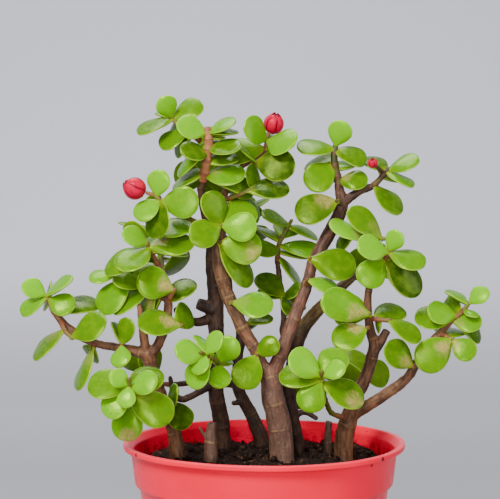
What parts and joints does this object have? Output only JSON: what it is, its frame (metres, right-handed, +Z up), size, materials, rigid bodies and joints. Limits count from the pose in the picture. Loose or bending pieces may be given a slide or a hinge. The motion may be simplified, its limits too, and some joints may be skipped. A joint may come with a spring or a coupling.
{
  "type": "potted dwarf jade bonsai",
  "caption": "Small dwarf jade tree with round fleshy leaves on branching stems and round red buds, growing in soil in a round tapered plastic pot.",
  "frame": {"origin": "centre of the pot's underside", "axes": "+Z up along the pot's axis, +X to the right and +Y away from the plant's front"},
  "size_m": [0.1674, 0.1109, 0.2112],
  "materials": {
    "pot_plastic": "smooth bright red, softly glossy",
    "soil": "crumbly dark potting soil",
    "pale_bark": "smooth light grey-brown bark with ring scars",
    "brown_bark": "reddish brown bark",
    "dark_bark": "dark brown bark",
    "leaf": "fleshy glossy green leaf",
    "bud": "glossy red petals"
  },
  "bodies": {
    "root": {"pot": "pot_plastic", "soil": "soil", "stem_left": "brown_bark", "stub_cut": "pale_bark", "stem_dark": "dark_bark", "stem_slanting": "dark_bark", "trunk": "pale_bark", "stem_middle": "dark_bark", "stem_right": "brown_bark", "stump_dark": "dark_bark", "shoot_top_left": "leaf", "shoot_top": "leaf", "shoot_left_high": "leaf", "shoot_left_middle": "leaf", "shoot_left_stem": "leaf", "shoot_left_spur": "leaf", "shoot_left_low": "leaf", "shoot_left_branch": "leaf", "shoot_left_hanging": "leaf", "shoot_far_left": "leaf", "shoot_far_left_low": "leaf", "shoot_front_left": "leaf", "shoot_low_left": "leaf", "shoot_front_middle": "leaf", "shoot_middle": "leaf", "shoot_middle_high": "leaf", "shoot_middle_low": "leaf", "shoot_top_middle_low": "leaf", "shoot_top_middle": "leaf", "shoot_right_top": "leaf", "shoot_right_high": "leaf", "shoot_right_crown": "leaf", "shoot_back_middle": "leaf", "shoot_back_middle_low": "leaf", "shoot_fork_high": "leaf", "shoot_fork_middle": "leaf", "shoot_fork": "leaf", "shoot_right_upper": "leaf", "shoot_right_branch": "leaf", "shoot_right_branch_low": "leaf", "shoot_right": "leaf", "shoot_right_middle": "leaf", "shoot_right_side": "leaf", "shoot_right_stem": "leaf", "shoot_right_fork": "leaf", "shoot_far_right": "leaf", "shoot_right_low": "leaf", "shoot_front_right": "leaf", "shoot_back_crown": "leaf", "shoot_back_left": "leaf", "shoot_back_middle_high": "leaf", "shoot_back_right": "leaf", "shoot_back_left_low": "leaf", "shoot_back_right_low": "leaf", "shoot_back_fork": "leaf", "bud_top_left": "bud", "bud_left": "bud", "bud_top_middle": "bud", "bud_right": "bud"}
  },
  "joints": []
}
